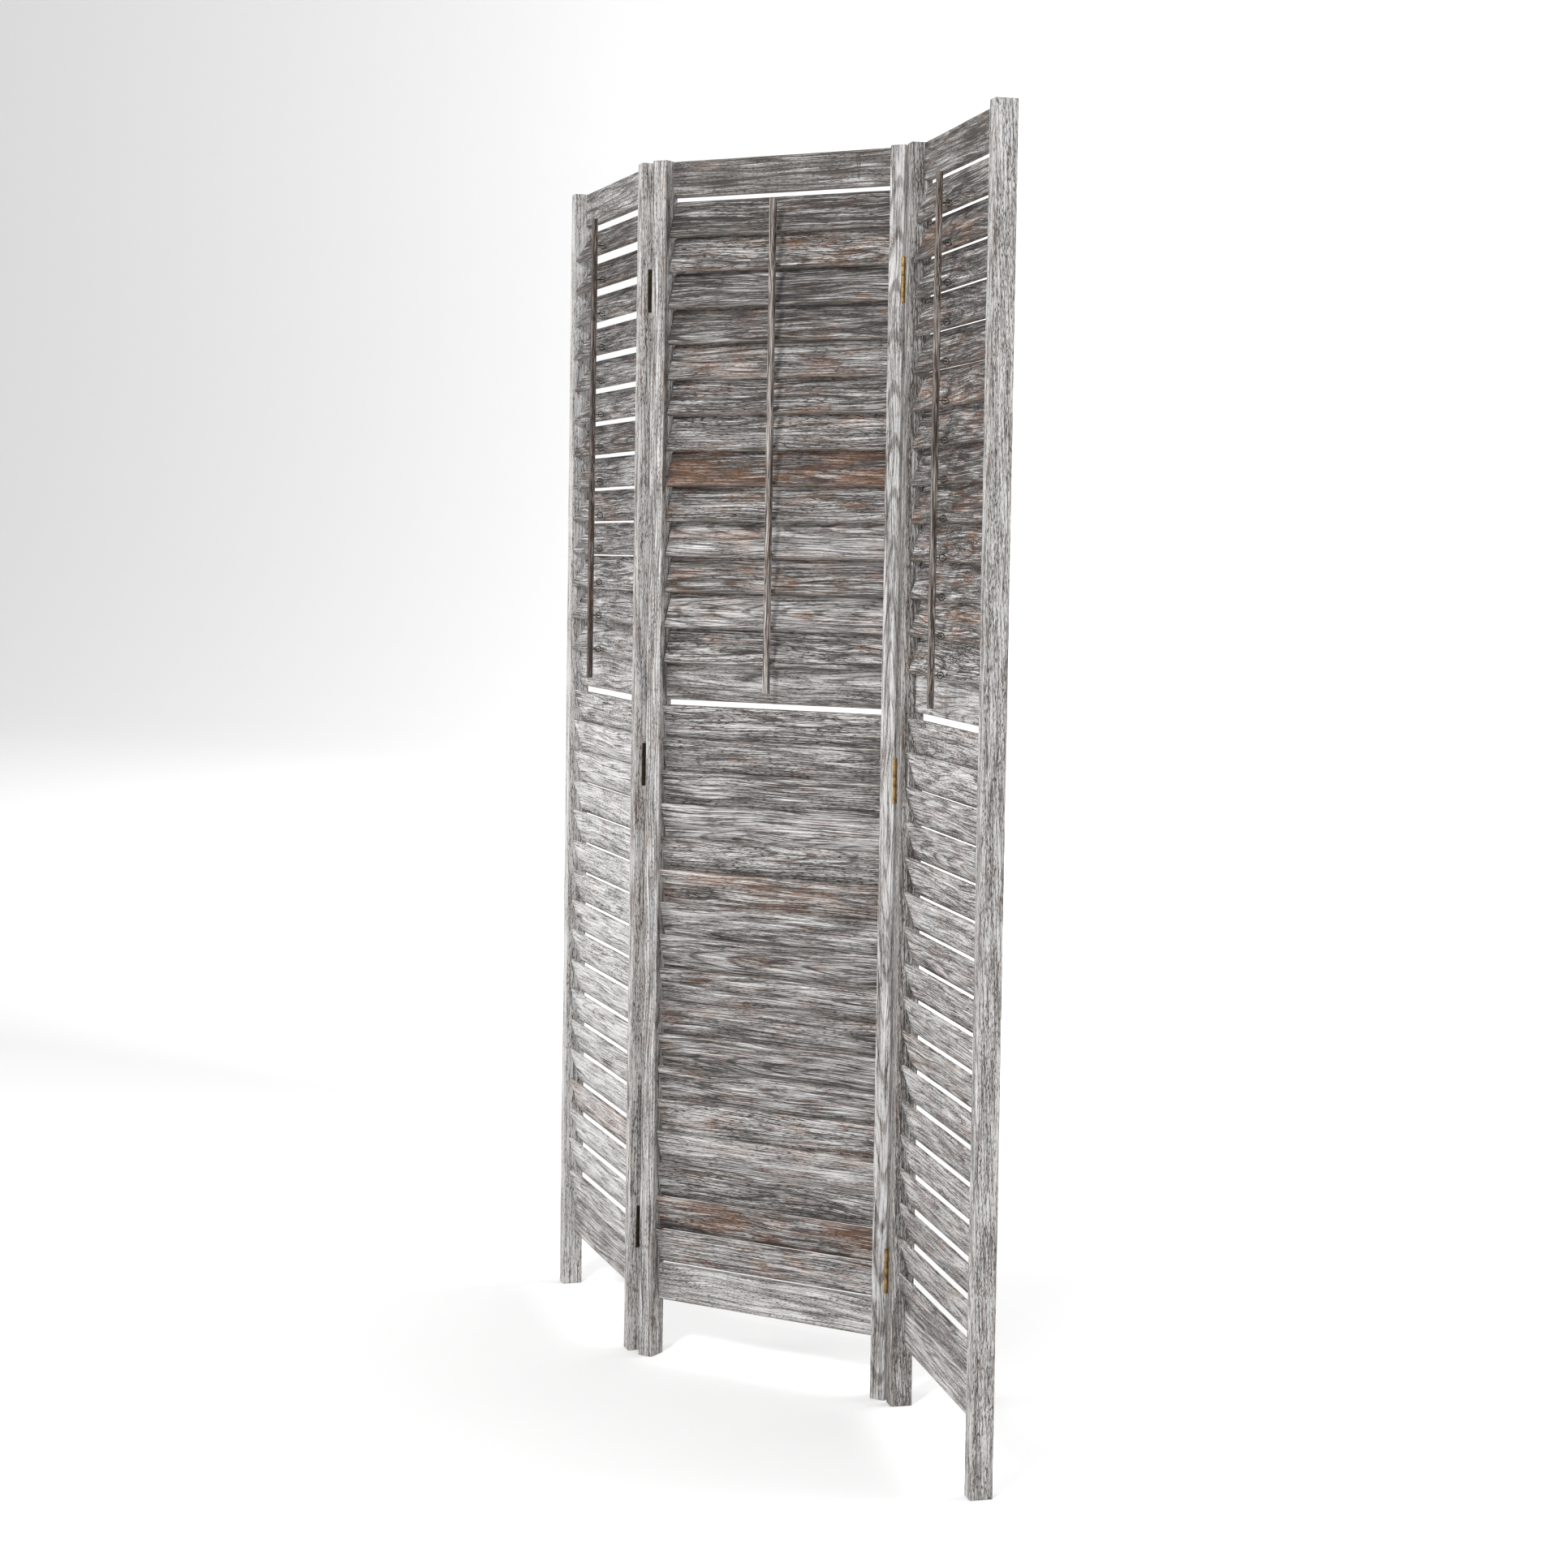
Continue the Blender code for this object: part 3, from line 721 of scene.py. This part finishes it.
def tilting_louver(side, index, shade):
    """One louver about its pivots, with both pivot pins and the screw eye near its lower edge."""
    length = PANEL_WIDTH - 2 * STILE_WIDTH - 2 * LOUVER_END_GAP
    parts = [placed(board(length, SLAT_CHORD, SLAT_THICKNESS, LOUVER_EASE, shade), LYING)]
    profile = [
        (0.6 * PIVOT_RADIUS, -PIVOT_LENGTH),
        (PIVOT_RADIUS, -0.9 * PIVOT_LENGTH),
        (PIVOT_RADIUS, PIVOT_LENGTH),
        (0.6 * PIVOT_RADIUS, 1.05 * PIVOT_LENGTH),
    ]
    pin = lathed(profile, 10, 1)
    for way in (-1, 1):
        parts.append(placed(pin, shift(way * length / 2, 0, 0) @ turn("y", 90)))
    eye = (EYE_FROM_PANEL_MIDDLE, -EYE_BEFORE_PIVOT, -EYE_BELOW_PIVOT)
    parts += screw_eye(eye, -SLAT_THICKNESS / 2 + EYE_SET_IN, False)
    height = TOP_LOUVER_HEIGHT - index * LOUVER_PITCH
    place = panel_place(side) @ shift(PANEL_WIDTH / 2, LOUVER_PIVOT_DEPTH, height)
    place = place @ turn("x", -LOUVER_TILT[side])
    return [placed(p, place) for p in parts]


def tilt_rod(side, shade):
    """The square rod that links a panel's tilting louvers, with its thirteen level screw eyes."""
    length = (LOUVER_COUNT - 1) * LOUVER_PITCH + ROD_BELOW_LAST_EYE + ROD_ABOVE_TOP_EYE
    middle = ROD_ABOVE_TOP_EYE - length / 2
    made = board(length, ROD_SIDE, ROD_SIDE, ROD_EASE, shade, ROD_WAVER, 40)
    x = 2 * EYE_SIDE_STEP
    parts = [placed(made, shift(x, -ROD_BEHIND_EYE - ROD_SIDE / 2, middle) @ STANDING)]
    reach = math.sqrt(EYE_RADIUS**2 - EYE_SIDE_STEP**2)
    for index in range(LOUVER_COUNT):
        centre = (EYE_SIDE_STEP, -reach, -index * LOUVER_PITCH)
        parts += screw_eye(centre, -ROD_BEHIND_EYE - EYE_SET_IN, True)
    tilt = math.radians(LOUVER_TILT[side])
    depth = -EYE_BEFORE_PIVOT * math.cos(tilt) - EYE_BELOW_PIVOT * math.sin(tilt)
    height = EYE_BEFORE_PIVOT * math.sin(tilt) - EYE_BELOW_PIVOT * math.cos(tilt)
    across = PANEL_WIDTH / 2 + EYE_FROM_PANEL_MIDDLE
    place = panel_place(side)
    place = place @ shift(across, LOUVER_PIVOT_DEPTH + depth, TOP_LOUVER_HEIGHT + height)
    return [placed(p, place) for p in parts]


for side in SIDES:
    for index, shade in enumerate(FIXED_SHADE[side]):
        piece(
            f"{side}_fixed_louver_{index + 1:02d}",
            [fixed_louver(side, index, shade)],
            [louver_wood],
            f"{side}_panel",
            [f"{side}_fixed_louvers"],
        )
    for index, shade in enumerate(LOUVER_SHADE[side]):
        name = f"{side}_louver_{index + 1:02d}"
        parts = tilting_louver(side, index, shade)
        piece(f"{name}_board", parts, [louver_wood, steel], name, [name])
    rod = f"{side}_tilt_rod"
    parts = tilt_rod(side, ROD_SHADE[side])
    piece(f"{rod}_with_eyes", parts, [rod_wood, steel], rod, [rod])


# ---------------------------------------------------------------- hinges

def screw_head():
    """A countersunk head about z: rings and sectors of a low dome, with a cross sunk into it."""
    rings, sectors = 7, 24
    r = np.linspace(0.05, 1, rings)[:, None] * SCREW_RADIUS
    angle = np.linspace(0, 2 * np.pi, sectors, endpoint=False)[None, :]
    x, y = r * np.cos(angle), r * np.sin(angle)
    arm = np.minimum(np.abs(x), np.abs(y)) < 0.35 * MM
    z = 0.10 * MM * (1 - (r / SCREW_RADIUS) ** 2)
    z = z - np.where(arm & (r < 1.7 * MM), 0.35 * MM, 0.0)
    top = np.stack([x, y, z], -1)
    foot = top[-1:].copy()
    foot[..., 2] = -0.6 * MM
    foot[..., :2] *= 0.8
    # finish 1 is the near-black brass of the leaf, painted shade
    return plain_shell(np.concatenate([foot, top[::-1]]), True, 1)


def hinge_leaf(own_knuckles, with_pin):
    """One leaf about its pin: a plate with three screws, and its knuckles."""
    outer = -PANEL_GAP / 2 - LEAF_SETBACK
    inner = outer - LEAF_THICKNESS
    depth = LEAF_START - LEAF_END
    plain = (0, 0)
    plate = board(HINGE_LENGTH, LEAF_THICKNESS, depth, 0.2 * MM, plain, 0.0, 6)
    middle = (inner + outer) / 2
    centre = -(LEAF_START + LEAF_END) / 2
    plate = placed(plate, shift(middle, centre, 0) @ STANDING)
    # finish 1 is the near-black brass, painted shade for the slit between the stiles
    plate["finish"] = 1
    parts = [plate]
    step = HINGE_LENGTH / KNUCKLE_COUNT
    bore = HINGE_PIN_RADIUS * (0.5 if with_pin else 1.3)
    for index in own_knuckles:
        low = -HINGE_LENGTH / 2 + index * step + KNUCKLE_GAP / 2
        high = low + step - KNUCKLE_GAP
        soft = 0.25 * MM
        full = KNUCKLE_RADIUS - 0.03 * MM
        profile = [
            (bore, low), (full - soft, low), (full, low + soft),
            (full, high - soft), (full - soft, high), (bore, high),
        ]
        parts.append(lathed(profile, 20))
        tab_depth = LEAF_END + TAB_LAP
        tab = board(high - low, LEAF_THICKNESS, tab_depth, 0.15 * MM, plain, 0.0, 3)
        parts.append(placed(tab, shift(middle, -tab_depth / 2, (low + high) / 2) @ STANDING))
    if with_pin:
        reach = HINGE_LENGTH / 2
        r = HINGE_PIN_RADIUS
        tip = reach + HINGE_PIN_PROUD
        profile = [
            (0.4 * r, -tip), (0.85 * r, -tip + 0.25 * MM), (r, -tip + 0.6 * MM),
            (r, tip - 0.6 * MM), (0.85 * r, tip - 0.25 * MM), (0.4 * r, tip),
        ]
        parts.append(lathed(profile, 16))
    for height in (-SCREW_SPACING, 0.0, SCREW_SPACING):
        y = centre - (SCREW_STAGGER if height else -SCREW_STAGGER)
        cross = turn("z", 23 + 900 * height)  # each cross stands its own way
        parts.append(placed(screw_head(), shift(outer, y, height) @ turn("y", 90) @ cross))
    return parts


for side in ("left", "right"):
    facing = turn("z", 0 if side == "left" else 180)
    for level, height in HINGE_HEIGHTS.items():
        up = shift(0, 0, height)
        outer_place = fold_place(side, True) @ up @ facing
        inner_place = fold_place(side, False) @ up @ facing @ turn("y", 180)
        for kind, knuckles, place, body in (
            ("pin_leaf", (0, 2, 4), outer_place, f"{side}_panel"),
            ("plain_leaf", (1, 3), inner_place, "centre_panel"),
        ):
            parts = [placed(p, place) for p in hinge_leaf(knuckles, kind == "pin_leaf")]
            name = f"{side}_hinge_{level}_{kind}"
            piece(f"{name}_brass", parts, [brass, leaf_brass_painted_shade], body, [name])


# ---------------------------------------------------------------- floor, light and camera

def studio_floor():
    """A pale floor, a broad flat grid just under the feet, curving up behind."""
    across = np.linspace(-40, 40, 15)
    curl = np.radians(np.linspace(10, 90, 9))
    run = np.concatenate([np.linspace(-12, 9, 12), 9 + 4 * np.sin(curl), [13.0]])
    rise = np.concatenate([np.zeros(12), 4 - 4 * np.cos(curl), [12.0]])
    points = np.empty((len(run), len(across), 3))
    points[..., 0] = across[None, :]
    points[..., 1] = run[:, None]
    points[..., 2] = rise[:, None]
    mesh = bpy.data.meshes.new("studio_floor")
    faces = grid_faces(len(run), len(across), around=False)
    mesh.from_pydata(points.reshape(-1, 3).tolist(), [], faces.tolist())
    mesh.polygons.foreach_set("use_smooth", np.ones(len(faces), bool))
    made = bpy.data.objects.new("studio_floor", mesh)
    bpy.context.scene.collection.objects.link(made)
    paint = bpy.data.materials.new("pale_floor")
    paint.use_nodes = True
    shader = paint.node_tree.nodes["Principled BSDF"]
    shader.inputs["Base Color"].default_value = (0.90, 0.90, 0.90, 1.0)
    shader.inputs["Roughness"].default_value = 0.9
    mesh.materials.append(paint)


def soft_light(name, place, target, size, power):
    """A square soft light at a place, facing a target."""
    data = bpy.data.lights.new(name, "AREA")
    data.size, data.energy = size, power
    made = bpy.data.objects.new(name, data)
    made.location = place
    way = np.array(target, float) - np.array(place, float)
    made.rotation_euler = Vector(way).to_track_quat("-Z", "Y").to_euler()
    bpy.context.scene.collection.objects.link(made)


studio_floor()
world = bpy.data.worlds.new("studio")
world.use_nodes = True
world.node_tree.nodes["Background"].inputs["Color"].default_value = (1.0, 1.0, 1.0, 1.0)
world.node_tree.nodes["Background"].inputs["Strength"].default_value = 0.65
bpy.context.scene.world = world
for light in (
    ("key_front", (0.45, -3.6, 2.8), (0, 0, 0.8), 0.6, 105),
    ("fill_left", (-3.6, -2.4, 0.9), (0, 0, 0.7), 1.6, 95),
    ("backdrop_light", (0, 3.0, 5.5), (0, 11, 3), 5.0, 1100),
    ("fill_right", (3.4, -2.6, 2.2), (0, 0, 0.9), 2.2, 20),
    ("floor_wash", (2.4, 1.8, 3.2), (1.6, 1.0, 0), 2.4, 90),
):
    soft_light(*light)
bpy.context.scene.view_settings.view_transform = "Standard"

camera = bpy.data.cameras.new("camera")
camera.lens = 63.733
camera.sensor_width = 36.0
camera.shift_x, camera.shift_y = -0.03603, -0.0638
camera.clip_start, camera.clip_end = 0.05, 100.0
seen = bpy.data.objects.new("camera", camera)
seen.location = (1.9967, -3.2808, 1.1543)
seen.rotation_euler = Euler([math.radians(a) for a in (87.2874, -0.9216, 29.6898)], "XYZ")
bpy.context.scene.collection.objects.link(seen)
bpy.context.scene.camera = seen
